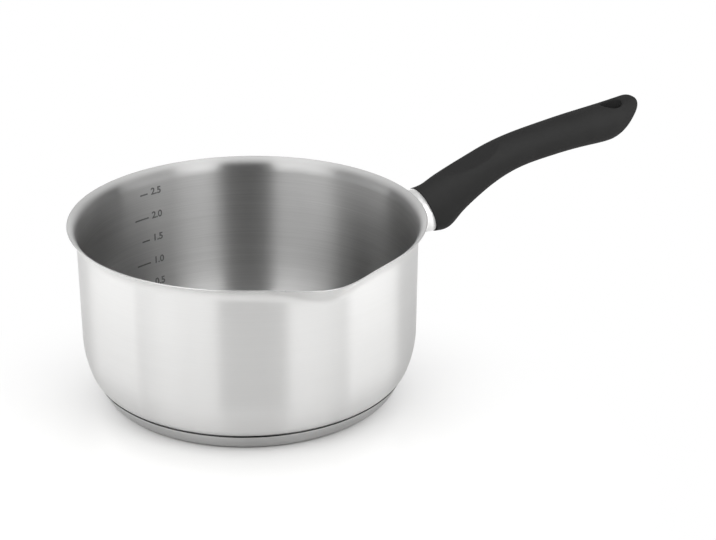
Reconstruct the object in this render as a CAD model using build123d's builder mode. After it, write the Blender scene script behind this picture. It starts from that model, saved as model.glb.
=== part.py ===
from build123d import *
import math
import os

# A steel milk pan with one pouring lip, an encapsulated base and a moulded handle.
# The frame has +Z up and its origin on the pan's axis, at the underside of the base.
# The handle runs along +X and the pouring lip points along -Y. Lengths are in millimetres.

# Drawn steel body
body_radius = 101.0
body_sheet = 0.8
rim_height = 105.9
wall_foot = 35.7
sweep_radius = 59.4
corner_radius = 11.0

# Flared rim of the body
rim_reach = 5.3
rim_bend = 10.5
rim_turn = 54.0

# Pouring lip pressed out of the rim
lip_azimuth = -90.0
lip_reach = 6.7
lip_drop = 1.5
lip_bend = 8.0
lip_turn = 45.0
lip_spread_angle = 13.0
lip_half_angle = 28.0
lip_steps = 7
lip_band = 30.0
lip_inset = 0.05

# Encapsulated base: an aluminium core under the body, held in a steel cap
cap_sheet = 0.6
core_thickness = 7.2
core_gap = 0.3
core_edge = 1.5
seam_radius = 94.7
seam_height = 10.3
cap_lean = 28.0
cap_edge = 4.0

# Flame guard: a round steel sleeve from the wall to the grip's slanted front face
guard_radius = 14.2
guard_sheet = 0.8
handle_drop = 17.5
face_distance = 19.2
face_lean = 21.0

# Bracket: a strap welded on the wall, with a tongue that runs into the grip
strap = 2.5
plate_width = 16.0
plate_height = 16.0
tongue_width = 14.0
tongue_length = 27.0
tongue_lean = 24.0
tongue_end_radius = 3.0

# Screw, its washer and the nut fixed on the tongue
screw_distance = 19.0
screw_radius = 2.5
screw_head_radius = 4.6
screw_head_height = 3.0
screw_head_edge = 0.9
screw_spare = 1.5
slot_width = 1.2
slot_depth = 1.6
slot_length = 5.6
washer_thickness = 1.2
washer_radius = 4.4
washer_split = 0.8
nut_width = 8.0
nut_height = 4.0
nut_edge = 0.6
seat_depth = 8.0
recess_depth = 12.0
head_gap = 0.4
fit_gap = 0.25

# Moulded grip
grip_length = 158.0
grip_rise = 40.0
grip_height = 31.0
grip_width = 28.4
tail_edge = 3.5
spigot_length = 4.0
hang_hole_radius = 7.0
hang_hole_distance = 142.0
thumb_distance = 42.2
thumb_rise = 29.4
thumb_lean = 25.0
thumb_radius = 85.0

# Stations of the grip from its front face to its tail. Each row holds the shares of the grip's
# length, rise, height and width, then the section's lean in degrees and the squareness of its oval.
grip_station_shares = [
    (0.000, 0.000, 0.500, 0.507, 21.0, 2.1),
    (0.051, 0.023, 0.525, 0.505, 25.3, 2.2),
    (0.103, 0.159, 0.476, 0.490, 29.6, 2.3),
    (0.166, 0.311, 0.418, 0.475, 29.4, 2.4),
    (0.243, 0.470, 0.376, 0.461, 24.8, 2.4),
    (0.390, 0.693, 0.334, 0.454, 16.1, 2.4),
    (0.550, 0.811, 0.335, 0.461, 9.3, 2.4),
    (0.709, 0.889, 0.350, 0.486, 5.9, 2.4),
    (0.850, 0.939, 0.373, 0.503, 2.0, 2.4),
    (0.905, 0.975, 0.395, 0.480, -14.0, 2.4),
    (0.975, 1.054, 0.431, 0.420, -31.6, 2.4),
]
oval_points = 16

# Overrun of every cut beyond what it cuts
overrun = 2.0


def rotated(length, degrees):
    """The two parts of a length that leans by an angle: along the base line, and square to it."""
    return length * math.cos(math.radians(degrees)), length * math.sin(math.radians(degrees))


def radial_plane(azimuth):
    """The upright plane through the pan's axis at an azimuth: x points outwards and y points up."""
    across, along = rotated(1, azimuth)
    return Plane(origin=(0, 0, 0), x_dir=(across, along, 0), z_dir=(along, -across, 0))


def leaning_plane(distance, height, lean):
    """A plane square to the handle where it climbs by the lean: x points sideways and y points up."""
    ahead, up = rotated(1, lean)
    return Plane(origin=(distance, 0, height), x_dir=(0, 1, 0), z_dir=(ahead, 0, up))


# Heights and centres that the body and the base share
floor_underside = cap_sheet + core_thickness
sweep_centre = (body_radius - sweep_radius, wall_foot)
corner_lean = math.degrees(
    math.asin((wall_foot - floor_underside - corner_radius) / (sweep_radius - corner_radius))
)
corner_out, corner_down = rotated(sweep_radius - corner_radius, corner_lean)
corner_centre = (sweep_centre[0] + corner_out, sweep_centre[1] - corner_down)
band_height = rim_height - lip_band
handle_height = rim_height - handle_drop


def draw_foot(inset):
    """Draws one skin of the body from its axis to the top of the plain wall."""
    floor_height = floor_underside + inset
    Line((0, floor_height), (corner_centre[0], floor_height))
    CenterArc(corner_centre, corner_radius - inset, -90, 90 - corner_lean)
    CenterArc(sweep_centre, sweep_radius - inset, -corner_lean, corner_lean)
    Line((body_radius - inset, wall_foot), (body_radius - inset, band_height))


def draw_rim(reach, drop, bend, turn, inset):
    """Draws one skin of the body from the top of the plain wall to the rim, and returns its end."""
    bend_in, bend_up = rotated(bend, turn)
    sheet_up = rotated(body_sheet, turn)[1]
    inset_in, inset_up = rotated(inset, turn)
    flank = (reach - bend + bend_in) / math.sin(math.radians(turn))
    flank_up, flank_out = rotated(flank, turn)
    start = rim_height - drop - sheet_up - bend_up - flank_up
    centre = (body_radius + bend, start)
    flank_foot = (centre[0] - bend_in - inset_in, start + bend_up + inset_up)
    edge = (flank_foot[0] + flank_out, flank_foot[1] + flank_up)
    Line((body_radius - inset, band_height), (body_radius - inset, start))
    CenterArc(centre, bend + inset, 180, -turn)
    Line(flank_foot, edge)
    return edge


def lip_share(angle):
    """How much of the pouring lip there is at an angle from its middle: 1 there and 0 at its ends."""
    end = math.exp(-((lip_half_angle / lip_spread_angle) ** 2))
    return (math.exp(-((angle / lip_spread_angle) ** 2)) - end) / (1 - end)


# Body: bottom, wall, flared rim and pouring lip are one drawn sheet
with BuildPart() as pan_body:
    with BuildSketch(Plane.XZ):
        with BuildLine():
            draw_foot(0)
            draw_foot(body_sheet)
            outer_edge = draw_rim(rim_reach, 0, rim_bend, rim_turn, 0)
            inner_edge = draw_rim(rim_reach, 0, rim_bend, rim_turn, body_sheet)
            Line(outer_edge, inner_edge)
            Line((0, floor_underside), (0, floor_underside + body_sheet))
        make_face()
    revolve(axis=Axis.Z)
    # The plain rim gives way to the pouring lip, whose skins lie a hair inside the plain ones
    with BuildSketch(radial_plane(lip_azimuth - lip_half_angle)):
        with Locations((body_radius - overrun, band_height)):
            Rectangle(rim_reach + 2 * overrun, lip_band + overrun, align=Align.MIN)
    revolve(axis=Axis.Z, revolution_arc=2 * lip_half_angle, mode=Mode.SUBTRACT)
    for step in range(-lip_steps, lip_steps + 1):
        angle = lip_half_angle * step / lip_steps
        share = lip_share(angle)
        reach = rim_reach + share * lip_reach - lip_inset
        bend = rim_bend + share * (lip_bend - rim_bend)
        turn = rim_turn + share * (lip_turn - rim_turn)
        with BuildSketch(radial_plane(lip_azimuth + angle)):
            with BuildLine():
                outer_edge = draw_rim(reach, share * lip_drop, bend, turn, lip_inset)
                inner_edge = draw_rim(reach, share * lip_drop, bend, turn, body_sheet - lip_inset)
                Line(outer_edge, inner_edge)
                outer_foot = (body_radius - lip_inset, band_height)
                Line(outer_foot, (body_radius - body_sheet + lip_inset, band_height))
            make_face()
    loft()
pan_body.part.label = "pan_body"


def cap_radius(height, inset):
    """Radius of the cap's leaning flank at a height, on a skin that lies inset from the outer one."""
    lean = math.radians(cap_lean)
    return seam_radius - (seam_height - height) * math.tan(lean) - inset / math.cos(lean)


def draw_cup(floor_height, inset, top, edge):
    """Draws a filled cup that stands on floor_height and follows the cap's flank up to the top."""
    foot = cap_radius(floor_height, inset)
    FilletPolyline((0, floor_height), (foot, floor_height), (cap_radius(top, inset), top), radius=edge)
    Polyline((cap_radius(top, inset), top), (0, top), (0, floor_height))


# Cap: a steel cup that closes the base, with its edge showing as a seam round the body's corner
with BuildPart() as base_cap:
    with BuildSketch(Plane.XZ):
        with BuildLine():
            draw_cup(0, 0, seam_height, cap_edge)
        make_face()
    revolve(axis=Axis.Z)
    with BuildSketch(Plane.XZ):
        with BuildLine():
            draw_cup(cap_sheet, cap_sheet, seam_height, cap_edge - cap_sheet)
        make_face()
    revolve(axis=Axis.Z, mode=Mode.SUBTRACT)
base_cap.part.label = "base_cap"

# Core: the aluminium plate that spreads the heat
with BuildPart() as base_core:
    with BuildSketch(Plane.XZ):
        with BuildLine():
            draw_cup(cap_sheet, cap_sheet + core_gap, floor_underside, cap_edge - cap_sheet)
        make_face()
    revolve(axis=Axis.Z)
    chamfer(base_core.edges().sort_by(Axis.Z)[-1], length=core_edge)
base_core.part.label = "base_core"

# Filled outer shape of the body, which trims what stands against the wall
with BuildPart() as pan_envelope:
    with BuildSketch(Plane.XZ):
        with BuildLine():
            edge = draw_rim(rim_reach, 0, rim_bend, rim_turn, 0)
            Polyline(edge, (edge[0], rim_height), (0, rim_height), (0, 0))
            Polyline((0, 0), (body_radius, 0), (body_radius, band_height))
        make_face()
    revolve(axis=Axis.Z)

# The grip's front face, and the tongue that runs through its middle
face_radius = body_radius + face_distance
face_plane = leaning_plane(face_radius, handle_height, face_lean)
tongue_ahead, tongue_up = rotated(1, tongue_lean)
tongue_plane = Plane(
    origin=(face_radius, 0, handle_height),
    x_dir=(tongue_ahead, 0, tongue_up),
    z_dir=(-tongue_up, 0, tongue_ahead),
)
tongue_back = face_distance / tongue_ahead
screw_plane = Plane(
    origin=tongue_plane.from_local_coords((screw_distance, 0, 0)),
    x_dir=tongue_plane.x_dir,
    z_dir=tongue_plane.z_dir,
)
screw_axis = Axis(screw_plane.origin, screw_plane.z_dir)


def draw_tongue(run_back, gap):
    """Fills the tongue's outline, grown by a gap, from a run behind the grip's face to its round end."""
    with Locations((-run_back, 0)):
        Rectangle(run_back + tongue_length + gap, tongue_width + 2 * gap, align=(Align.MIN, Align.CENTER))
    fillet(vertices().group_by(Axis.X)[-1], radius=tongue_end_radius)


# Flame guard
with BuildPart() as flame_guard:
    with BuildSketch(Plane.YZ.offset(body_radius - guard_radius)):
        with Locations((0, handle_height)):
            Circle(guard_radius)
            Circle(guard_radius - guard_sheet, mode=Mode.SUBTRACT)
    extrude(amount=face_distance + 2 * guard_radius)
    split(bisect_by=face_plane, keep=Keep.BOTTOM)
    add(pan_envelope.part, mode=Mode.SUBTRACT)
flame_guard.part.label = "flame_guard"

# Bracket
plate_low = tongue_plane.from_local_coords((-tongue_back, 0, 0)).Z - strap / 2
with BuildPart() as handle_bracket:
    with BuildSketch(tongue_plane.offset(-strap / 2)):
        draw_tongue(tongue_back, 0)
    extrude(amount=strap)
    with BuildSketch(Plane.XY.offset(plate_low)):
        Circle(body_radius + strap)
        Circle(body_radius, mode=Mode.SUBTRACT)
        with Locations((body_radius, 0)):
            Rectangle(2 * plate_width, plate_width, mode=Mode.INTERSECT)
    extrude(amount=plate_height)
    add(pan_envelope.part, mode=Mode.SUBTRACT)
    with Locations(screw_plane):
        Hole(screw_radius + fit_gap)
handle_bracket.part.label = "handle_bracket"

# Nut fixed on top of the tongue
with BuildPart() as clinch_nut:
    with BuildSketch(screw_plane.offset(strap / 2)):
        Rectangle(nut_width, nut_width)
        Circle(screw_radius, mode=Mode.SUBTRACT)
    extrude(amount=nut_height)
    chamfer(clinch_nut.faces().sort_by(screw_axis)[-1].outer_wire().edges(), length=nut_edge)
clinch_nut.part.label = "clinch_nut"

# Spring washer with its split
with BuildPart() as lock_washer:
    with BuildSketch(screw_plane.offset(-seat_depth - washer_thickness)):
        Circle(washer_radius)
        Circle(screw_radius + fit_gap, mode=Mode.SUBTRACT)
        split_length = washer_radius + overrun
        Rectangle(split_length, washer_split, align=(Align.MIN, Align.CENTER), mode=Mode.SUBTRACT)
    extrude(amount=washer_thickness)
lock_washer.part.label = "lock_washer"

# Screw with a domed head and a cross recess
head_seat = seat_depth + washer_thickness
with BuildPart() as handle_screw:
    with BuildSketch(screw_plane.offset(-head_seat)):
        Circle(screw_radius)
    extrude(amount=head_seat + strap / 2 + nut_height + screw_spare)
    with BuildSketch(screw_plane.offset(-head_seat - screw_head_height)):
        Circle(screw_head_radius)
    extrude(amount=screw_head_height)
    chamfer(handle_screw.edges().sort_by(screw_axis)[0], length=screw_head_edge)
    with BuildSketch(screw_plane.offset(-head_seat - screw_head_height)):
        Rectangle(slot_length, slot_width)
        Rectangle(slot_width, slot_length)
    extrude(amount=slot_depth, mode=Mode.SUBTRACT)
handle_screw.part.label = "handle_screw"


def draw_oval(half_height, half_width, squareness):
    """Draws a closed oval round its centre. Squareness 2 gives an ellipse, and more fills its corners."""
    points = []
    for step in range(oval_points):
        across, along = rotated(1, 360 * step / oval_points)
        across = math.copysign(abs(across) ** (2 / squareness), across)
        along = math.copysign(abs(along) ** (2 / squareness), along)
        points.append((half_width * across, half_height * along))
    Spline(points, periodic=True)


def grip_plane(station):
    """The plane of one station of the grip."""
    along, rise, tall, wide, lean, squareness = station
    return leaning_plane(face_radius + along * grip_length, handle_height + rise * grip_rise, lean)


# What is hollow in the grip
thumb_plane = leaning_plane(face_radius + thumb_distance, handle_height + thumb_rise, thumb_lean)
thumb_centre = thumb_plane.from_local_coords((0, thumb_radius, 0))
pocket_back = spigot_length + overrun
spigot_radius = guard_radius - guard_sheet - fit_gap
with BuildPart() as grip_hollow:
    # Pocket that the tongue slides into, and a channel above it for the nut and the screw's end
    with BuildSketch(tongue_plane.offset(-strap / 2 - fit_gap)):
        draw_tongue(pocket_back, fit_gap)
    extrude(amount=strap + 2 * fit_gap)
    with BuildSketch(tongue_plane):
        with Locations((-pocket_back, 0)):
            Rectangle(
                pocket_back + screw_distance + nut_width / 2 + fit_gap,
                nut_width + 2 * fit_gap,
                align=(Align.MIN, Align.CENTER),
            )
    extrude(amount=strap / 2 + nut_height + screw_spare + fit_gap)
    # Screw hole with a deep recess for the head and its washer
    with BuildSketch(screw_plane.offset(-seat_depth)):
        Circle(screw_radius + fit_gap)
    extrude(amount=seat_depth)
    with BuildSketch(screw_plane.offset(-seat_depth - recess_depth)):
        Circle(screw_head_radius + head_gap)
    extrude(amount=recess_depth)
    # Hole to hang the pan by
    with BuildSketch(Plane.XY.offset(handle_height)):
        with Locations((face_radius + hang_hole_distance, 0)):
            Circle(hang_hole_radius)
    extrude(amount=2 * grip_rise)

# Grip
with BuildPart() as handle_grip:
    for station in grip_station_shares:
        along, rise, tall, wide, lean, squareness = station
        with BuildSketch(grip_plane(station)):
            with BuildLine():
                draw_oval(tall * grip_height, wide * grip_width, squareness)
            make_face()
    loft()
    fillet(handle_grip.faces().sort_by(Axis.X)[-1].edges(), radius=tail_edge)
    # Spigot that fits inside the flame guard
    with BuildSketch(face_plane):
        Ellipse(spigot_radius, spigot_radius / math.cos(math.radians(face_lean)))
    extrude(amount=spigot_length, dir=(-1, 0, 0))
    add(grip_hollow.part, mode=Mode.SUBTRACT)
    # Thumb rest scooped out of the top
    with Locations(thumb_centre):
        Sphere(thumb_radius, mode=Mode.SUBTRACT)
handle_grip.part.label = "handle_grip"

made = [pan_body, base_cap, base_core, flame_guard, handle_bracket]
made += [clinch_nut, lock_washer, handle_screw, handle_grip]
for piece in made:
    export_step(piece.part, f"parts/{piece.part.label}.step")
    print(piece.part.label, len(piece.part.solids()), piece.part.is_valid, round(piece.part.volume, 1))
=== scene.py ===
import math

import bmesh
import bpy
import numpy as np
from mathutils import Matrix, Quaternion, Vector
from mathutils.bvhtree import BVHTree


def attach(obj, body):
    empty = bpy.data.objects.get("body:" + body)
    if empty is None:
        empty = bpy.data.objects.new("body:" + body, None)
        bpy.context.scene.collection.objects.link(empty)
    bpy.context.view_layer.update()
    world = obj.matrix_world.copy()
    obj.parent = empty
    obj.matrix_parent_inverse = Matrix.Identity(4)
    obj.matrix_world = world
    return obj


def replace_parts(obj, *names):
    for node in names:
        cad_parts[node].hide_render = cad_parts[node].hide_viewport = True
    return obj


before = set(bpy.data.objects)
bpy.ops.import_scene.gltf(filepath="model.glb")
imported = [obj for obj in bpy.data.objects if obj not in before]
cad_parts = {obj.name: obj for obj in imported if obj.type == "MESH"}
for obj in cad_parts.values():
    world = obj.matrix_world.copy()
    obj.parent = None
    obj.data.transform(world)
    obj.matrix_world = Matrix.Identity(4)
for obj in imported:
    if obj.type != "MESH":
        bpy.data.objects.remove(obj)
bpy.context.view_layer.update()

# A steel milk pan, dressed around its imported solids. All lengths are in metres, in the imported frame:
# +Z up, the handle along +X and the pouring lip towards -Y.

# Body sheet
BODY_RADIUS = 0.101
SHEET = 0.0008
RIM_HEIGHT = 0.1059
FLOOR_UNDERSIDE = 0.0078
WALL_FOOT = 0.0357
SWEEP_RADIUS = 0.0594
CORNER_RADIUS = 0.011
BAND_HEIGHT = 0.0759
EDGE_ROUND = 0.00025

# Steps of the body's outline, from the axis up the wall to the rim's edge, and of a turn
FLOOR_STEPS = 12
CORNER_STEPS = 12
SWEEP_STEPS = 14
WALL_STEPS = 6
BEND_STEPS = 16
FLANK_STEPS = 6
EDGE_STEPS = 4
TURN_STEPS = 360

# Points closer together than this are joined
WELD_DISTANCE = 1e-7

# Flared rim and pouring lip
RIM_REACH = 0.0053
RIM_BEND = 0.0105
RIM_TURN = 54.0
LIP_AZIMUTH = -90.0
LIP_REACH = 0.0067
LIP_DROP = 0.0015
LIP_BEND = 0.008
LIP_TURN = 45.0
LIP_SPREAD = 13.0
LIP_HALF_ANGLE = 28.0

# Base cap
CAP_SHEET = 0.0006
SEAM_RADIUS = 0.0947
SEAM_HEIGHT = 0.0103
CAP_LEAN = 28.0
CAP_EDGE = 0.004
CAP_FLOOR_STEPS = 24
CAP_EDGE_STEPS = 10
CAP_FLANK_STEPS = 4

# Flame guard and the grip's front face
GUARD_RADIUS = 0.0142
GUARD_SHEET = 0.0008
HANDLE_HEIGHT = 0.0884
FACE_RADIUS = 0.1202
FACE_LEAN = 21.0
GUARD_SIDES = 128
GUARD_STEPS = 6

# Grip: shares of its length, rise, height and width, the section's lean and the squareness of its oval
GRIP_LENGTH = 0.158
GRIP_RISE = 0.040
GRIP_HEIGHT = 0.031
GRIP_WIDTH = 0.0284
GRIP_STATION_SHARES = [
    (0.000, 0.000, 0.500, 0.507, 21.0, 2.1),
    (0.051, 0.023, 0.525, 0.505, 25.3, 2.2),
    (0.103, 0.159, 0.476, 0.490, 29.6, 2.3),
    (0.166, 0.311, 0.418, 0.475, 29.4, 2.4),
    (0.243, 0.470, 0.376, 0.461, 24.8, 2.4),
    (0.390, 0.693, 0.334, 0.454, 16.1, 2.4),
    (0.550, 0.811, 0.335, 0.461, 9.3, 2.4),
    (0.709, 0.889, 0.350, 0.486, 5.9, 2.4),
    (0.850, 0.939, 0.373, 0.503, 2.0, 2.4),
    (0.905, 0.975, 0.395, 0.480, -14.0, 2.4),
    (0.975, 1.054, 0.431, 0.420, -31.6, 2.4),
]
FRONT_ROUND = 0.0006
TAIL_ROUND = 0.004
HOLE_RADIUS = 0.007
HOLE_DISTANCE = 0.142
HOLE_SOFTNESS = 0.0012

# Steps along the grip and round it, round its two bores, and across their soft edges
GRIP_RINGS = 400
GRIP_SIDES = 176
HOLE_SIDES = 96
RECESS_SIDES = 64
SOFT_STEPS = 6

# Thumb rest: part of a large ball scooped out of the grip's top. Its edge is softened, as far out as the
# last length.
THUMB_DISTANCE = 0.0402
THUMB_RISE = 0.0285
THUMB_LEAN = 25.0
THUMB_RADIUS = 0.072
THUMB_SOFTNESS = 0.00022
THUMB_BLEND = 4 * THUMB_SOFTNESS

# Screw recess in the grip's underside
SCREW_PLACE = (0.13756, 0.0, 0.09613)
SCREW_LEAN = 24.0
RECESS_RADIUS = 0.005
RECESS_DEPTH = 0.008
RECESS_SOFTNESS = 0.0006

# Volume marks on the inner wall: a tick and a plain number for each half litre
MARK_HEIGHTS = [(0.5, 0.0290), (1.0, 0.0442), (1.5, 0.0601), (2.0, 0.0757), (2.5, 0.0920)]
MARK_AZIMUTH = 104.0
MARK_CLEARANCE = 0.00001
MARK_THICKNESS = 0.00004
MARK_LETTER = 0.0064
MARK_BOLD = 0.0002
TICK_WIDTH = 0.0010
TICK_LONG = 0.0110
TICK_SHORT = 0.0060
TICK_GAP = 0.0025
TICK_DROP = 0.0007
TICK_STEPS = 8
LETTER_STEPS = 4

# Finish of each turned metal: its darkest and lightest tone, its least and most roughness, how metallic it
# is, how far its shine is drawn out across the turning lines, and the depth of these lines
FINISHES = {
    "outside_steel": ((0.710, 0.735), (0.28, 0.30), 1.00, 1.0, 0.000002),
    "inside_steel": ((0.46, 0.56), (0.36, 0.42), 1.00, 1.0, 0.00001),
    "edge_steel": ((0.41, 0.46), (0.26, 0.32), 0.50, 0.0, 0.000002),
    "base_steel": ((0.43, 0.52), (0.30, 0.40), 1.00, 0.9, 0.00001),
    "guard_steel": ((0.88, 0.92), (0.28, 0.34), 0.60, 0.0, 0.000002),
    "hardware_steel": ((0.52, 0.60), (0.28, 0.36), 1.00, 0.0, 0.00001),
    "core_aluminium": ((0.70, 0.80), (0.30, 0.40), 1.00, 0.0, 0.00001),
}

# Turning lines: noise drawn out round the axis, with its rate along the lines, its rate across them and its
# detail. The range is the part of the noise that is used, here and on the grip.
FINE_LINES = (12.0, 2400.0, 3.0)
WIDE_LINES = (9.0, 150.0, 2.0)
WIDE_LINES_SHARE = 0.3
LINES_ROUGHNESS = 0.6
NOISE_RANGE = (0.3, 0.7)

# A quarter turn, which lays the drawn-out shine across the lines
SHINE_ROTATION = 0.25

# Red, green and blue of a neutral grey, a touch warm
NEUTRAL = (1.0, 0.998, 0.992)

# Painted shade on the outside: darker down to the foot, between two heights, for the dimmer light the lower
# wall reflects
PAINTED_SHADE_HEIGHTS = (0.02, 0.10)
OUTSIDE_FOOT_PAINTED_SHADE = 0.35
OUTSIDE_PAINTED_SHADE_TONE = 0.45

# The flared rim: a tone of its own up the flare, then a top that is only partly metallic, a painted sheen
# that keeps it light all round in place of its reflections
FLARE_HEIGHTS = (0.0945, 0.1010)
FLARE_TONE = 0.43
FLARE_ROUGH = 0.36
PAINTED_SHEEN_HEIGHTS = (0.1004, 0.1052)
RIM_SHEEN_TONE = 0.46
RIM_SHEEN_METALLIC = 0.30

# Grip's plastic: its tones, roughness and shine, the rates of its grain and clouds, and the grain's depth
GRIP_TONE = (0.018, 0.023)
GRIP_ROUGH = (0.56, 0.68)
GRIP_SPECULAR = 0.07
GRIP_GRAIN = 2200.0
GRIP_CLOUD = 60.0
GRIP_CLOUD_DETAIL = 3.0
GRAIN_DEPTH = 0.00003
GRAIN_STRENGTH = 0.6

# Dark etching of the marks: its tones, the rate of its specks, and its roughness
INK_TONE = (0.05, 0.12)
INK_SPECK = 900.0
INK_ROUGH = 0.6

# Painted shade: a dark line along the cap's top edge, for the shade in the crevice between the body and the
# base cap
SEAM_SHADE_WIDTH = 0.0006
SEAM_SHADE_BLUR = 0.0003
SEAM_SHADE_TONE = 0.06

# Camera, in a frame turned so that it looks along +Y
VIEW_AZIMUTH = -28.5
CAMERA_PLACE = (0.065266, -0.851036, 0.448076)
CAMERA_AIM = (0.065266, 0.0, 0.071629)
CAMERA_LENS = 77.87
CAMERA_SENSOR = 36.0
CAMERA_ROLL = 0.0100

# Studio, seen from the pan: soft boxes beside the camera and at both sides, each from an inner to an outer
# foot, between two heights, at a level where 1 is white
SOFT_BOXES = [
    ("box_near_left", (-0.145, -0.50), (-0.36, -0.43), 0.26, 0.96, 3.20),
    ("box_near_right", (0.255, -0.50), (0.40, -0.42), 0.26, 0.96, 3.30),
    ("box_middle_left", (-0.36, -0.43), (-0.56, -0.24), 0.20, 0.98, 2.70),
    ("box_middle_right", (0.40, -0.42), (0.56, -0.26), 0.28, 1.08, 3.20),
    ("box_side_left", (-0.56, -0.24), (-0.58, 0.26), 0.07, 0.32, 1.85),
    ("box_side_right", (0.56, -0.26), (0.59, 0.20), 0.07, 0.42, 1.90),
]

# The room in reflections, in degrees: the heights that part low from high and high from overhead, the gap by
# the camera, where the back starts on either side of it, and the blur of these borders
LOW_TOP = 14.0
HIGH_TOP = 54.0
GAP_MIDDLE = 6.0
GAP_HALF_ANGLE = 22.0
BACK_START = 96.0
ROOM_BLUR = 4.0

# Its levels: low and high round the sides, in the gap, low and high at the back, and overhead
LOW_LEVEL = 0.95
HIGH_LEVEL = 0.08
GAP_LEVEL = 0.12
BACK_LOW_LEVEL = 1.05
BACK_HIGH_LEVEL = 0.03
OVERHEAD_LEVEL = 0.85

# Levels of the room's soft light on dull surfaces: all round and overhead
FILL_LEVEL = 0.45
OVERHEAD_FILL_LEVEL = 2.60

# Pale floor: it fades to white for the camera, between two distances from a middle just before the pan's axis
FLOOR_SIZE = 8.0
FLOOR_TONE = 0.655
FLOOR_ROUGH = 0.22
FLOOR_SPECULAR = 0.4
FLOOR_MIDDLE = -0.12
FLOOR_FADE = (0.06, 0.24)


def polar(length, degrees):
    """The two parts of a length that leans by an angle: along the base line, and square to it."""
    return length * math.cos(math.radians(degrees)), length * math.sin(math.radians(degrees))


def arc(centre, radius, start, sweep, steps):
    """Points on an arc, as (radius, height) pairs, both ends among them."""
    points = []
    for step in range(steps + 1):
        out, up = polar(radius, start + sweep * step / steps)
        points.append((centre[0] + out, centre[1] + up))
    return points


def run(start, end, steps):
    """Points on a straight run, both ends among them."""
    return [
        (start[0] + (end[0] - start[0]) * step / steps, start[1] + (end[1] - start[1]) * step / steps)
        for step in range(steps + 1)
    ]


def lip_share(azimuth):
    """How much of the pouring lip there is at an azimuth: 1 in its middle and 0 outside it."""
    angle = (azimuth - LIP_AZIMUTH + 180) % 360 - 180
    if abs(angle) >= LIP_HALF_ANGLE:
        return 0.0
    end = math.exp(-((LIP_HALF_ANGLE / LIP_SPREAD) ** 2))
    return (math.exp(-((angle / LIP_SPREAD) ** 2)) - end) / (1 - end)


def foot_skin(inset):
    """One skin of the body from its axis to the top of the plain wall."""
    floor_height = FLOOR_UNDERSIDE + inset
    drop = WALL_FOOT - FLOOR_UNDERSIDE - CORNER_RADIUS
    lean = math.degrees(math.asin(drop / (SWEEP_RADIUS - CORNER_RADIUS)))
    sweep_centre = (BODY_RADIUS - SWEEP_RADIUS, WALL_FOOT)
    out, down = polar(SWEEP_RADIUS - CORNER_RADIUS, lean)
    corner_centre = (sweep_centre[0] + out, sweep_centre[1] - down)
    wall = BODY_RADIUS - inset
    points = run((0, floor_height), (corner_centre[0], floor_height), FLOOR_STEPS)
    points += arc(corner_centre, CORNER_RADIUS - inset, -90, 90 - lean, CORNER_STEPS)[1:]
    points += arc(sweep_centre, SWEEP_RADIUS - inset, -lean, lean, SWEEP_STEPS)[1:]
    points += run((wall, WALL_FOOT), (wall, BAND_HEIGHT), WALL_STEPS)[1:]
    return points


def rim_skins(share):
    """The outer skin from the plain wall to the rim's rounded edge and the inner skin back down."""
    reach = RIM_REACH + share * LIP_REACH
    bend = RIM_BEND + share * (LIP_BEND - RIM_BEND)
    turn = RIM_TURN + share * (LIP_TURN - RIM_TURN)
    bend_in, bend_up = polar(bend, turn)
    sheet_in, sheet_up = polar(SHEET, turn)
    flank = (reach - bend + bend_in) / math.sin(math.radians(turn))
    flank_up, flank_out = polar(flank, turn)
    start = RIM_HEIGHT - share * LIP_DROP - sheet_up - bend_up - flank_up
    centre = (BODY_RADIUS + bend, start)
    ahead = np.array((flank_out, flank_up)) / flank
    across = np.array((-sheet_in, sheet_up)) / SHEET
    foot = np.array((centre[0] - bend_in, start + bend_up))
    edge = foot + ahead * flank
    outer = run((BODY_RADIUS, BAND_HEIGHT), (BODY_RADIUS, start), WALL_STEPS)[1:]
    outer += arc(centre, bend, 180, -turn, BEND_STEPS)[1:]
    outer += run(tuple(foot), tuple(edge - ahead * EDGE_ROUND), FLANK_STEPS)[1:]
    low_centre = edge - ahead * EDGE_ROUND + across * EDGE_ROUND
    high_centre = edge - ahead * EDGE_ROUND + across * (SHEET - EDGE_ROUND)
    for step in range(1, EDGE_STEPS + 1):
        side, front = polar(EDGE_ROUND, 90 * step / EDGE_STEPS)
        outer.append(tuple(low_centre - across * side + ahead * front))
    for step in range(EDGE_STEPS + 1):
        front, side = polar(EDGE_ROUND, 90 * step / EDGE_STEPS)
        outer.append(tuple(high_centre + ahead * front + across * side))
    inner_foot = foot + across * SHEET
    inner = run(tuple(edge + across * SHEET - ahead * EDGE_ROUND), tuple(inner_foot), FLANK_STEPS)[1:]
    inner += arc(centre, bend + SHEET, 180 - turn, turn, BEND_STEPS)[1:]
    inner += run((BODY_RADIUS - SHEET, start), (BODY_RADIUS - SHEET, BAND_HEIGHT), WALL_STEPS)[1:]
    return outer + inner


def make_object(name, vertices, faces, materials, zones=None):
    """A smooth mesh object that rides on the pan. Zones number its materials."""
    mesh = bpy.data.meshes.new(name)
    mesh.from_pydata([tuple(v) for v in vertices], [], faces)
    for material in materials:
        mesh.materials.append(material)
    if zones:
        mesh.polygons.foreach_set("material_index", zones)
    mesh.update()
    piece = bpy.data.objects.new(name, mesh)
    bpy.context.scene.collection.objects.link(piece)
    bm = bmesh.new()
    bm.from_mesh(mesh)
    bmesh.ops.remove_doubles(bm, verts=bm.verts, dist=WELD_DISTANCE)
    bmesh.ops.recalc_face_normals(bm, faces=bm.faces)
    for face in bm.faces:
        face.smooth = True
    bm.to_mesh(mesh)
    bm.free()
    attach(piece, "root")
    return piece


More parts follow.
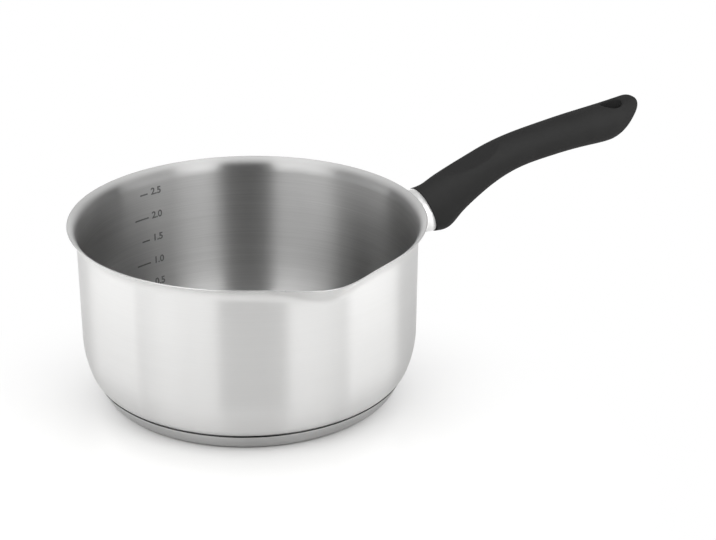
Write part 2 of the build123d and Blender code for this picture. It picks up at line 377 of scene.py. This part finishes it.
def revolve(profiles, azimuths):
    """Vertices and faces of a closed surface whose outline is given at each azimuth, axis to axis."""
    vertices, faces = [], []
    count = len(profiles[0])
    for profile, azimuth in zip(profiles, azimuths):
        across, along = polar(1, azimuth)
        for radius, height in profile:
            vertices.append((radius * across, radius * along, height))
    for turn in range(len(azimuths)):
        here, there = turn * count, (turn + 1) % len(azimuths) * count
        for step in range(count - 1):
            faces.append([here + step, there + step, there + step + 1, here + step + 1])
    return vertices, faces


def azimuths_round(steps):
    """Evenly spaced azimuths for one turn."""
    return [360 * step / steps for step in range(steps)]


def build_body(materials):
    """The drawn sheet: floor, wall, flared rim and lip. Its materials are outside, edge and inside."""
    outside_zone, edge_zone, inside_zone = range(3)
    azimuths = azimuths_round(TURN_STEPS)
    outer_foot, inner_foot = foot_skin(0), foot_skin(SHEET)
    profiles = []
    for azimuth in azimuths:
        skins = rim_skins(lip_share(azimuth))
        profiles.append(outer_foot + skins + inner_foot[::-1][1:])
    vertices, faces = revolve(profiles, azimuths)
    outer_steps = len(outer_foot) + WALL_STEPS + BEND_STEPS + FLANK_STEPS - 1
    zone_steps = [outside_zone] * outer_steps + [edge_zone] * (2 * EDGE_STEPS + 1)
    zone_steps += [inside_zone] * (len(profiles[0]) - 1 - len(zone_steps))
    zones = zone_steps * len(azimuths)
    return make_object("pan_shell", vertices, faces, materials, zones)


def cap_radius(height, inset):
    """Radius of the cap's leaning flank at a height, on a skin that lies inset from the outer one."""
    lean = math.radians(CAP_LEAN)
    return SEAM_RADIUS - (SEAM_HEIGHT - height) * math.tan(lean) - inset / math.cos(lean)


def cup_skin(floor_height, inset, edge_radius):
    """One skin of the cap from its axis round its rounded foot to its upper edge."""
    flank_angle = 90 - CAP_LEAN
    half_turn = math.radians(flank_angle / 2)
    foot = cap_radius(floor_height, inset)
    setback = edge_radius * math.tan(half_turn)
    centre = (foot - setback, floor_height + edge_radius)
    top = (cap_radius(SEAM_HEIGHT, inset), SEAM_HEIGHT)
    points = run((0, floor_height), (foot - setback, floor_height), CAP_FLOOR_STEPS)
    points += arc(centre, edge_radius, -90, flank_angle, CAP_EDGE_STEPS)[1:]
    points += run(points[-1], top, CAP_FLANK_STEPS)[1:]
    return points


def build_cap(material):
    """The steel cup that closes the base."""
    azimuths = azimuths_round(TURN_STEPS)
    outer = cup_skin(0, 0, CAP_EDGE)
    inner = cup_skin(CAP_SHEET, CAP_SHEET, CAP_EDGE - CAP_SHEET)
    vertices, faces = revolve([outer + inner[::-1]] * len(azimuths), azimuths)
    return make_object("cap_shell", vertices, faces, [material])


def outer_radius(height):
    """Radius of the body's outer skin at a height, away from the pouring lip."""
    skins = rim_skins(0)
    heights = [point[1] for point in skins]
    top = int(np.argmax(heights))
    outer = [point for point in skins[:top] if point[0] >= BODY_RADIUS]
    return float(np.interp(height, [p[1] for p in outer], [p[0] for p in outer]))


def build_guard(material):
    """The bright sleeve between the wall and the grip."""
    vertices, faces = [], []
    for radius in (GUARD_RADIUS, GUARD_RADIUS - GUARD_SHEET):
        for azimuth in azimuths_round(GUARD_SIDES):
            side, up = polar(radius, azimuth)
            height = HANDLE_HEIGHT + up
            wall = math.sqrt(outer_radius(height) ** 2 - side ** 2)
            face = FACE_RADIUS - up * math.tan(math.radians(FACE_LEAN))
            for step in range(GUARD_STEPS + 1):
                vertices.append((wall + (face - wall) * step / GUARD_STEPS, side, height))
    ring = GUARD_STEPS + 1
    inside = GUARD_SIDES * ring
    for turn in range(GUARD_SIDES):
        here, there = turn * ring, (turn + 1) % GUARD_SIDES * ring
        for step in range(GUARD_STEPS):
            faces.append([here + step, here + step + 1, there + step + 1, there + step])
            inner_face = [here + step, there + step, there + step + 1, here + step + 1]
            faces.append([inside + corner for corner in inner_face])
        for step in (0, GUARD_STEPS):
            faces.append([here + step, there + step, inside + there + step, inside + here + step])
    return make_object("guard_sleeve", vertices, faces, [material])


def cubic_spline(places, values, samples):
    """A natural cubic spline through the values at these places, read at the samples."""
    count = len(places)
    gaps = np.diff(places)
    slopes = np.diff(values, axis=0) / gaps[:, None]
    matrix = np.zeros((count, count))
    right = np.zeros_like(values)
    matrix[0, 0] = matrix[-1, -1] = 1
    for row in range(1, count - 1):
        matrix[row, row - 1 : row + 2] = gaps[row - 1], 2 * (gaps[row - 1] + gaps[row]), gaps[row]
        right[row] = 6 * (slopes[row] - slopes[row - 1])
    bends = np.linalg.solve(matrix, right)
    found = []
    for sample in samples:
        span = min(max(int(np.searchsorted(places, sample)) - 1, 0), count - 2)
        gap, before, after = gaps[span], places[span + 1] - sample, sample - places[span]
        found.append(
            (bends[span] * before ** 3 + bends[span + 1] * after ** 3) / (6 * gap)
            + (values[span] / gap - bends[span] * gap / 6) * before
            + (values[span + 1] / gap - bends[span + 1] * gap / 6) * after
        )
    return np.array(found)


def grip_sections(rings, around):
    """Points of the grip's skin: rings along it, each with points round it, sideways first and then up."""
    angles = np.arange(around) * 2 * math.pi / around
    across, up = np.cos(angles), np.sin(angles)
    stations = []
    for along, rise, tall, wide, lean, squareness in GRIP_STATION_SHARES:
        ahead, climb = polar(1, lean)
        side = wide * GRIP_WIDTH * np.sign(across) * np.abs(across) ** (2 / squareness)
        high = tall * GRIP_HEIGHT * np.sign(up) * np.abs(up) ** (2 / squareness)
        outward = FACE_RADIUS + along * GRIP_LENGTH - climb * high
        upward = HANDLE_HEIGHT + rise * GRIP_RISE + ahead * high
        stations.append(np.stack([outward, side, upward], 1))
    stations = np.array(stations)
    centres = stations.mean(1)
    places = np.concatenate([[0], np.cumsum(np.linalg.norm(np.diff(centres, axis=0), axis=1))])
    samples = np.linspace(0, places[-1], rings)
    return cubic_spline(places, stations.reshape(len(stations), -1), samples).reshape(rings, around, 3)


def grid_faces(rows, columns, closed=False):
    """Faces of a grid of points, row by row. A closed grid joins its last column to its first."""
    faces = []
    for row in range(rows - 1):
        for column in range(columns if closed else columns - 1):
            beside = (column + 1) % columns
            here, above = row * columns, (row + 1) * columns
            faces.append([here + column, here + beside, above + beside, above + column])
    return faces


def cutter_object(name, vertices, faces):
    """A closed mesh that only serves a boolean cut, and is removed after it."""
    mesh = bpy.data.meshes.new(name)
    mesh.from_pydata([tuple(v) for v in vertices], [], faces)
    bm = bmesh.new()
    bm.from_mesh(mesh)
    bmesh.ops.recalc_face_normals(bm, faces=bm.faces)
    bm.to_mesh(mesh)
    bm.free()
    piece = bpy.data.objects.new(name, mesh)
    bpy.context.scene.collection.objects.link(piece)
    return piece


def bore_cutter(skin_tree, centre, axis, radius, softness, reach, sides, depth=None):
    """A closed bore whose mouths flare into the skin in a soft edge. With a depth it has one mouth alone."""
    centre = Vector(centre)
    axis = Vector(axis).normalized()
    across = axis.orthogonal().normalized()
    along = axis.cross(across)
    spokes = []
    for azimuth in azimuths_round(sides):
        aside, ahead = polar(1, azimuth)
        spokes.append(across * aside + along * ahead)
    rings = []
    for outward in (-1, 1):
        far_ring = [centre + spoke * (radius + softness) + axis * outward * reach for spoke in spokes]
        heights = []
        for start in far_ring:
            hit = skin_tree.ray_cast(start, -axis * outward)
            heights.append((hit[0] - centre).dot(axis))
        side_rings = [far_ring]
        for step in range(SOFT_STEPS + 1):
            out, up = polar(softness, 90 * step / SOFT_STEPS)
            grow = softness - up
            side_rings.append([
                centre + spoke * (radius + grow) + axis * (height - outward * (softness - out))
                for spoke, height in zip(spokes, heights)
            ])
        rings += side_rings if outward < 0 else side_rings[::-1]
    if depth is not None:
        bottom = [centre + spoke * radius + axis * depth for spoke in spokes]
        rings = rings[: SOFT_STEPS + 2] + [bottom]
    vertices = [point for ring in rings for point in ring]
    faces = grid_faces(len(rings), sides, closed=True)
    faces.append(list(range(sides)))
    faces.append([(len(rings) - 1) * sides + side for side in range(sides)][::-1])
    return vertices, faces


def apply_modifiers(piece):
    """Bakes the piece's modifiers into its mesh."""
    bpy.context.view_layer.update()
    graph = bpy.context.evaluated_depsgraph_get()
    mesh = bpy.data.meshes.new_from_object(piece.evaluated_get(graph))
    piece.modifiers.clear()
    piece.data = mesh


def cut(piece, cutter):
    """Cuts a closed mesh out of a piece."""
    boolean = piece.modifiers.new("cut", "BOOLEAN")
    boolean.operation = "DIFFERENCE"
    boolean.solver = "EXACT"
    boolean.object = cutter
    apply_modifiers(piece)
    bpy.data.objects.remove(cutter)


def round_end(skin, ring, degrees, radius):
    """Draws the skin in towards one flat end, so that the end's edge is round."""
    ahead, climb = polar(1, degrees)
    inside = abs((skin[ring].mean(0) - skin) @ np.array((ahead, 0, climb)))
    near = np.clip(radius - inside, 0, radius)
    shrink = radius - np.sqrt(radius ** 2 - near ** 2)
    spokes = skin - skin.mean(1, keepdims=True)
    return skin - spokes / np.linalg.norm(spokes, axis=-1, keepdims=True) * shrink[..., None]


def scoop(skin):
    """Presses the thumb rest into the skin: points inside the ball move out to it, softly at its edge."""
    ahead, climb = polar(1, THUMB_LEAN)
    centre = np.array((
        FACE_RADIUS + THUMB_DISTANCE - climb * THUMB_RADIUS,
        0,
        HANDLE_HEIGHT + THUMB_RISE + ahead * THUMB_RADIUS,
    ))
    spokes = skin - centre
    distance = np.linalg.norm(spokes, axis=-1, keepdims=True)
    depth = THUMB_RADIUS - distance
    push = (depth + np.sqrt(depth ** 2 + THUMB_SOFTNESS ** 2)) / 2
    push = np.where(depth > -THUMB_BLEND, push, 0)
    return skin + spokes / distance * push


def build_grip(material):
    """The moulded grip: a lofted oval with rounded ends, a thumb rest, a hang hole and the screw's recess."""
    skin = grip_sections(GRIP_RINGS, GRIP_SIDES)
    skin = round_end(skin, -1, GRIP_STATION_SHARES[-1][4], TAIL_ROUND)
    skin = round_end(skin, 0, GRIP_STATION_SHARES[0][4], FRONT_ROUND)
    skin = scoop(skin)
    vertices = [tuple(point) for point in skin.reshape(-1, 3)]
    faces = grid_faces(GRIP_RINGS, GRIP_SIDES, closed=True)
    faces.append(list(range(GRIP_SIDES)))
    faces.append([(GRIP_RINGS - 1) * GRIP_SIDES + side for side in range(GRIP_SIDES)][::-1])
    piece = make_object("grip_shell", vertices, faces, [material])
    places = [vertex.co for vertex in piece.data.vertices]
    tree = BVHTree.FromPolygons(places, [face.vertices for face in piece.data.polygons])
    hole_place = (FACE_RADIUS + HOLE_DISTANCE, 0, HANDLE_HEIGHT + GRIP_RISE)
    hole = bore_cutter(tree, hole_place, (0, 0, 1), HOLE_RADIUS, HOLE_SOFTNESS, GRIP_RISE, HOLE_SIDES)
    cut(piece, cutter_object("hole_cutter", *hole))
    ahead, climb = polar(1, SCREW_LEAN)
    axis = (-climb, 0, ahead)
    recess = bore_cutter(
        tree, SCREW_PLACE, axis, RECESS_RADIUS, RECESS_SOFTNESS, GRIP_HEIGHT, RECESS_SIDES, -RECESS_DEPTH)
    cut(piece, cutter_object("recess_cutter", *recess))
    return piece


def inner_radius(height):
    """Radius of the body's inner skin at a height on the wall or the sweep at its foot."""
    rising = foot_skin(SHEET)[FLOOR_STEPS + 1 :]
    return float(np.interp(height, [point[1] for point in rising], [point[0] for point in rising]))


def flat_number(litres):
    """A plain number as flat points and faces, with its left edge at zero."""
    curve = bpy.data.curves.new("number", "FONT")
    curve.body = f"{litres:.1f}"
    curve.size = MARK_LETTER
    curve.offset = MARK_BOLD
    curve.align_y = "CENTER"
    curve.resolution_u = LETTER_STEPS
    text = bpy.data.objects.new("number", curve)
    bpy.context.scene.collection.objects.link(text)
    bpy.context.view_layer.update()
    mesh = text.to_mesh()
    points = [(vertex.co.x, vertex.co.y) for vertex in mesh.vertices]
    faces = [list(face.vertices) for face in mesh.polygons]
    bpy.data.objects.remove(text)
    return points, faces


def flat_tick(length, first):
    """A tick to the left of a number, in steps, so that it can bend. Its points count from the first."""
    points, faces = [], []
    for step in range(TICK_STEPS + 1):
        across = -TICK_GAP - length * step / TICK_STEPS
        points += [(across, -TICK_DROP - TICK_WIDTH / 2), (across, -TICK_DROP + TICK_WIDTH / 2)]
    for step in range(TICK_STEPS):
        corner = first + 2 * step
        faces.append([corner, corner + 1, corner + 3, corner + 2])
    return points, faces


def bent_points(bm, flat, height, inset):
    """Flat points at a height, bent onto the inner wall and lifted off it by an inset."""
    points = []
    for across, up in flat:
        azimuth = math.radians(MARK_AZIMUTH) - across / (BODY_RADIUS - SHEET)
        radius = inner_radius(height + up) - inset
        x, y = radius * math.cos(azimuth), radius * math.sin(azimuth)
        points.append(bm.verts.new((x, y, height + up)))
    return points


def open_edges(faces):
    """The edges that belong to one face alone, each in that face's direction."""
    edges = {}
    for face in faces:
        for first, second in zip(face, face[1:] + face[:1]):
            key = (min(first, second), max(first, second))
            edges.setdefault(key, []).append((first, second))
    return [pairs[0] for pairs in edges.values() if len(pairs) == 1]


def build_marks(material):
    """Numbers and ticks, a hair thick, bent onto the inner wall."""
    bm = bmesh.new()
    for litres, height in MARK_HEIGHTS:
        points, faces = flat_number(litres)
        length = TICK_LONG if litres == int(litres) else TICK_SHORT
        tick_points, tick_faces = flat_tick(length, len(points))
        points += tick_points
        faces += tick_faces
        back = bent_points(bm, points, height, MARK_CLEARANCE)
        front = bent_points(bm, points, height, MARK_THICKNESS)
        for face in faces:
            bm.faces.new([front[corner] for corner in face])
            bm.faces.new([back[corner] for corner in face][::-1])
        for first, second in open_edges(faces):
            bm.faces.new([front[second], front[first], back[first], back[second]])
    bmesh.ops.recalc_face_normals(bm, faces=bm.faces)
    mesh = bpy.data.meshes.new("volume_marks")
    bm.to_mesh(mesh)
    bm.free()
    piece = bpy.data.objects.new("volume_marks", mesh)
    bpy.context.scene.collection.objects.link(piece)
    mesh.materials.append(material)
    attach(piece, "root")
    return piece


def new_material(name):
    """A fresh material with its node tree and its shader."""
    material = bpy.data.materials.new(name)
    material.use_nodes = True
    tree = material.node_tree
    return material, tree, tree.nodes["Principled BSDF"]


def add_node(tree, kind, inputs=None, **settings):
    """A node with its settings and, by socket name, the values of its inputs."""
    node = tree.nodes.new(kind)
    for key, value in settings.items():
        setattr(node, key, value)
    for socket, content in (inputs or {}).items():
        node.inputs[socket].default_value = content
    return node


def maths(tree, operation, first, second=0.0, third=0.0):
    """A maths node on values or sockets, and its result."""
    node = tree.nodes.new("ShaderNodeMath")
    node.operation = operation
    for socket, content in zip(node.inputs, (first, second, third)):
        if isinstance(content, (int, float)):
            socket.default_value = content
        else:
            tree.links.new(content, socket)
    return node.outputs[0]


def between(tree, share, low, high):
    """The value at a share of the way from low to high, each a value or a socket."""
    if isinstance(low, float) and isinstance(high, float):
        return maths(tree, "MULTIPLY_ADD", share, high - low, low)
    return maths(tree, "MULTIPLY_ADD", maths(tree, "SUBTRACT", high, low), share, low)


def ramp(tree, value, low, high, out_low, out_high, kind="SMOOTHSTEP"):
    """Maps a value from one range to another, clamped."""
    node = add_node(tree, "ShaderNodeMapRange", interpolation_type=kind)
    tree.links.new(value, node.inputs[0])
    for socket, content in zip(("From Min", "From Max", "To Min", "To Max"), (low, high, out_low, out_high)):
        node.inputs[socket].default_value = content
    return node.outputs[0]


def noise(tree, vector, scale, detail=2.0, roughness=0.5):
    """Noise on a vector, as one value."""
    node = add_node(tree, "ShaderNodeTexNoise", {"Scale": scale, "Detail": detail, "Roughness": roughness})
    tree.links.new(vector, node.inputs["Vector"])
    return node.outputs["Fac"]


def bump(tree, shader, height, distance, strength=1.0):
    """Bump on a shader from a height."""
    node = add_node(tree, "ShaderNodeBump", {"Distance": distance, "Strength": strength})
    tree.links.new(height, node.inputs["Height"])
    tree.links.new(node.outputs[0], shader.inputs["Normal"])


def colour_mix(tree, share, low, high):
    """A colour at a share of the way between two colours or sockets."""
    mix = add_node(tree, "ShaderNodeMix", data_type="RGBA")
    tree.links.new(share, mix.inputs[0])
    for socket, content in ((mix.inputs[6], low), (mix.inputs[7], high)):
        if isinstance(content, tuple):
            socket.default_value = (*content, 1)
        else:
            tree.links.new(content, socket)
    return mix.outputs[2]


def grey(level):
    """A neutral colour, a touch warm."""
    return tuple(level * part for part in NEUTRAL)


def place_parts(tree):
    """The three coordinates of the place on the surface."""
    place = add_node(tree, "ShaderNodeNewGeometry")
    split = add_node(tree, "ShaderNodeSeparateXYZ")
    tree.links.new(place.outputs["Position"], split.inputs[0])
    return split.outputs


def turning_lines(tree, slow, fast, detail):
    """Noise that runs in lines round the pan's axis, on flat faces and on upright ones."""
    x, y, z = place_parts(tree)
    squares = maths(tree, "ADD", maths(tree, "MULTIPLY", x, x), maths(tree, "MULTIPLY", y, y))
    radius = maths(tree, "SQRT", squares)
    join = add_node(tree, "ShaderNodeCombineXYZ")
    tree.links.new(maths(tree, "MULTIPLY", x, slow), join.inputs[0])
    tree.links.new(maths(tree, "MULTIPLY", y, slow), join.inputs[1])
    tree.links.new(maths(tree, "MULTIPLY", maths(tree, "ADD", z, radius), fast), join.inputs[2])
    return noise(tree, join.outputs[0], 1.0, detail, LINES_ROUGHNESS)


def turned_metal(name):
    """Metal with fine turning lines round the pan's axis, and wider, fainter ones among them."""
    (dark, light), (least_rough, most_rough), metallic, anisotropy, depth = FINISHES[name]
    material, tree, shader = new_material(name)
    shader.inputs["Metallic"].default_value = metallic
    shader.inputs["Anisotropic"].default_value = anisotropy
    shader.inputs["Anisotropic Rotation"].default_value = SHINE_ROTATION
    tangent = add_node(tree, "ShaderNodeTangent", direction_type="RADIAL", axis="Z")
    tree.links.new(tangent.outputs[0], shader.inputs["Tangent"])
    fine = turning_lines(tree, *FINE_LINES)
    wide = turning_lines(tree, *WIDE_LINES)
    share = ramp(tree, between(tree, WIDE_LINES_SHARE, fine, wide), *NOISE_RANGE, 0.0, 1.0, "LINEAR")
    tree.links.new(colour_mix(tree, share, grey(dark), grey(light)), shader.inputs["Base Color"])
    tree.links.new(between(tree, share, most_rough, least_rough), shader.inputs["Roughness"])
    bump(tree, shader, fine, depth)
    return material, tree, shader


def fed_by(shader, name):
    """The socket that one of a shader's inputs is linked to."""
    return shader.inputs[name].links[0].from_socket


def outside_steel():
    """The outer face: brushed, with painted shade that darkens it a little down towards the foot."""
    material, tree, shader = turned_metal("outside_steel")
    height = place_parts(tree)[2]
    # Painted shade: the colour darkens towards the foot, in place of the lower wall's dimmer reflection
    painted_shade = ramp(tree, height, *PAINTED_SHADE_HEIGHTS, OUTSIDE_FOOT_PAINTED_SHADE, 0.0, "LINEAR")
    colour = colour_mix(tree, painted_shade, fed_by(shader, "Base Color"), grey(OUTSIDE_PAINTED_SHADE_TONE))
    tree.links.new(colour, shader.inputs["Base Color"])
    return material


def base_steel():
    """The cap's steel, with painted shade along its upper edge: a dark line for the shaded crevice under the
    body.
    """
    material, tree, shader = turned_metal("base_steel")
    height = place_parts(tree)[2]
    # Painted shade: a dark band at the top of the cap's flank, where the crevice under the body lies in shade
    shade_foot = SEAM_HEIGHT - SEAM_SHADE_WIDTH
    seam_shade = ramp(tree, height, shade_foot - SEAM_SHADE_BLUR, shade_foot, 0.0, 1.0)
    colour = colour_mix(tree, seam_shade, fed_by(shader, "Base Color"), grey(SEAM_SHADE_TONE))
    tree.links.new(colour, shader.inputs["Base Color"])
    return material


def inside_steel():
    """The inner face: brushed on the wall and up the flared rim, whose top has a painted sheen, partly dull
    and light all round.
    """
    material, tree, shader = turned_metal("inside_steel")
    height = place_parts(tree)[2]
    flare = ramp(tree, height, *FLARE_HEIGHTS, 0.0, 1.0)
    # Painted sheen: the rim's top turns partly dull and light, standing in for the reflections that light it
    painted_sheen = ramp(tree, height, *PAINTED_SHEEN_HEIGHTS, 0.0, 1.0)
    colour = colour_mix(tree, flare, fed_by(shader, "Base Color"), grey(FLARE_TONE))
    tree.links.new(colour_mix(tree, painted_sheen, colour, grey(RIM_SHEEN_TONE)), shader.inputs["Base Color"])
    rough = between(tree, flare, fed_by(shader, "Roughness"), FLARE_ROUGH)
    tree.links.new(rough, shader.inputs["Roughness"])
    tree.links.new(between(tree, painted_sheen, 1.0, RIM_SHEEN_METALLIC), shader.inputs["Metallic"])
    return material


def grip_plastic():
    """Matt charcoal moulding with a fine even grain."""
    material, tree, shader = new_material("grip_plastic")
    place = add_node(tree, "ShaderNodeNewGeometry").outputs["Position"]
    grain = noise(tree, place, GRIP_GRAIN)
    cloud = noise(tree, place, GRIP_CLOUD, GRIP_CLOUD_DETAIL)
    dark, light = GRIP_TONE
    tree.links.new(colour_mix(tree, cloud, grey(dark), grey(light)), shader.inputs["Base Color"])
    tree.links.new(ramp(tree, grain, *NOISE_RANGE, *GRIP_ROUGH, "LINEAR"), shader.inputs["Roughness"])
    shader.inputs["Specular IOR Level"].default_value = GRIP_SPECULAR
    bump(tree, shader, grain, GRAIN_DEPTH, GRAIN_STRENGTH)
    return material


def mark_ink():
    """Dark etched marks, a little uneven."""
    material, tree, shader = new_material("mark_ink")
    place = add_node(tree, "ShaderNodeNewGeometry").outputs["Position"]
    speck = noise(tree, place, INK_SPECK)
    dark, light = INK_TONE
    tree.links.new(colour_mix(tree, speck, grey(dark), grey(light)), shader.inputs["Base Color"])
    shader.inputs["Roughness"].default_value = INK_ROUGH
    return material


def from_view(point):
    """A point of the camera's frame in the pan's frame."""
    return Matrix.Rotation(math.radians(VIEW_AZIMUTH), 3, "Z") @ Vector(point)


def build_stage():
    """The pale floor, which turns into the white background away from the pan."""
    bpy.ops.mesh.primitive_plane_add(size=FLOOR_SIZE)
    floor = bpy.context.object
    floor.name = "floor"
    material, tree, shader = new_material("floor_white")
    shader.inputs["Base Color"].default_value = (*grey(FLOOR_TONE), 1)
    shader.inputs["Roughness"].default_value = FLOOR_ROUGH
    shader.inputs["Specular IOR Level"].default_value = FLOOR_SPECULAR
    place = add_node(tree, "ShaderNodeNewGeometry").outputs["Position"]
    offset = add_node(tree, "ShaderNodeVectorMath", operation="DISTANCE")
    tree.links.new(place, offset.inputs[0])
    offset.inputs[1].default_value = from_view((0, FLOOR_MIDDLE, 0))
    far = ramp(tree, offset.outputs["Value"], *FLOOR_FADE, 0.0, 1.0)
    paths = add_node(tree, "ShaderNodeLightPath")
    white = add_node(tree, "ShaderNodeEmission", {"Color": (1, 1, 1, 1), "Strength": 1.0})
    blend = add_node(tree, "ShaderNodeMixShader")
    tree.links.new(maths(tree, "MULTIPLY", far, paths.outputs["Is Camera Ray"]), blend.inputs[0])
    tree.links.new(shader.outputs[0], blend.inputs[1])
    tree.links.new(white.outputs[0], blend.inputs[2])
    tree.links.new(blend.outputs[0], tree.nodes["Material Output"].inputs["Surface"])
    floor.data.materials.append(material)


def build_camera():
    """The camera at the photograph's view."""
    data = bpy.data.cameras.new("camera")
    data.lens = CAMERA_LENS
    data.sensor_width = CAMERA_SENSOR
    camera = bpy.data.objects.new("camera", data)
    bpy.context.scene.collection.objects.link(camera)
    camera.location = from_view(CAMERA_PLACE)
    facing = from_view(CAMERA_AIM) - camera.location
    camera.rotation_mode = "QUATERNION"
    camera.rotation_quaternion = facing.to_track_quat("-Z", "Y") @ Quaternion((0, 0, 1), CAMERA_ROLL)
    bpy.context.scene.camera = camera


def soft_box(name, inner, outer, low, high, level):
    """One upright soft box that faces the pan."""
    inner, outer = Vector((*inner, 0)), Vector((*outer, 0))
    width, height = (outer - inner).length, high - low
    data = bpy.data.lights.new(name, "AREA")
    data.shape = "RECTANGLE"
    data.size, data.size_y = width, height
    data.energy = level * math.pi * width * height
    lamp = bpy.data.objects.new(name, data)
    bpy.context.scene.collection.objects.link(lamp)
    middle = (inner + outer) / 2
    along = (outer - inner).normalized()
    facing = Vector((-along.y, along.x, 0))
    if facing.dot(middle) > 0:
        facing.negate()
    lamp.location = from_view((middle.x, middle.y, (high + low) / 2))
    lamp.rotation_mode = "QUATERNION"
    lamp.rotation_quaternion = from_view(facing).to_track_quat("-Z", "Y")


def build_world():
    """White for the camera, soft light for dull surfaces, and a room with a dark gap for reflections."""
    world = bpy.data.worlds.new("studio")
    bpy.context.scene.world = world
    world.use_nodes = True
    tree = world.node_tree
    tree.nodes.clear()
    direction = add_node(tree, "ShaderNodeTexCoord")
    split = add_node(tree, "ShaderNodeSeparateXYZ")
    tree.links.new(direction.outputs["Generated"], split.inputs[0])
    x, y, z = split.outputs
    across, along = polar(1, VIEW_AZIMUTH)
    side = maths(tree, "ADD", maths(tree, "MULTIPLY", x, across), maths(tree, "MULTIPLY", y, along))
    front = maths(tree, "SUBTRACT", maths(tree, "MULTIPLY", x, along), maths(tree, "MULTIPLY", y, across))
    turn = maths(tree, "SUBTRACT", maths(tree, "ARCTAN2", side, front), math.radians(GAP_MIDDLE))
    angle = maths(tree, "ABSOLUTE", turn)
    climb = maths(tree, "ARCSINE", z)
    blur = math.radians(ROOM_BLUR)
    gap_edge, back_edge = math.radians(GAP_HALF_ANGLE), math.radians(BACK_START)
    low_edge, high_edge = math.radians(LOW_TOP), math.radians(HIGH_TOP)
    beside = ramp(tree, angle, gap_edge - blur / 2, gap_edge + blur / 2, 0.0, 1.0)
    behind = ramp(tree, angle, back_edge - blur, back_edge + blur, 0.0, 1.0)
    past_low = ramp(tree, climb, low_edge - blur, low_edge + blur, 0.0, 1.0)
    past_high = ramp(tree, climb, high_edge - blur, high_edge + blur, 0.0, 1.0)
    around = between(tree, past_low, LOW_LEVEL, HIGH_LEVEL)
    around = between(tree, past_high, around, OVERHEAD_LEVEL)
    back = between(tree, past_low, BACK_LOW_LEVEL, BACK_HIGH_LEVEL)
    around = between(tree, behind, around, back)
    ahead = between(tree, past_high, GAP_LEVEL, OVERHEAD_LEVEL)
    room = between(tree, beside, ahead, around)
    fill = between(tree, past_high, FILL_LEVEL, OVERHEAD_FILL_LEVEL)
    paths = add_node(tree, "ShaderNodeLightPath")
    level = between(tree, paths.outputs["Is Glossy Ray"], fill, room)
    level = between(tree, paths.outputs["Is Camera Ray"], level, 1.0)
    background = add_node(tree, "ShaderNodeBackground", {"Color": (1, 1, 1, 1)})
    tree.links.new(level, background.inputs["Strength"])
    output = add_node(tree, "ShaderNodeOutputWorld")
    tree.links.new(background.outputs[0], output.inputs["Surface"])


build_stage()
build_camera()
build_world()
for box in SOFT_BOXES:
    soft_box(*box)

outside = outside_steel()
edge_steel = turned_metal("edge_steel")[0]
cap_steel = base_steel()
guard_steel = turned_metal("guard_steel")[0]
hardware_steel = turned_metal("hardware_steel")[0]
core_metal = turned_metal("core_aluminium")[0]

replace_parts(build_body([outside, edge_steel, inside_steel()]), "pan_body")
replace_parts(build_cap(cap_steel), "base_cap")
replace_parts(build_guard(guard_steel), "flame_guard")
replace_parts(build_grip(grip_plastic()), "handle_grip")
build_marks(mark_ink())

for node, material in (
    ("base_core", core_metal),
    ("handle_bracket", hardware_steel),
    ("clinch_nut", hardware_steel),
    ("lock_washer", hardware_steel),
    ("handle_screw", hardware_steel),
):
    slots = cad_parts[node].data.materials
    slots.clear()
    slots.append(material)

bpy.context.scene.view_settings.view_transform = "Standard"
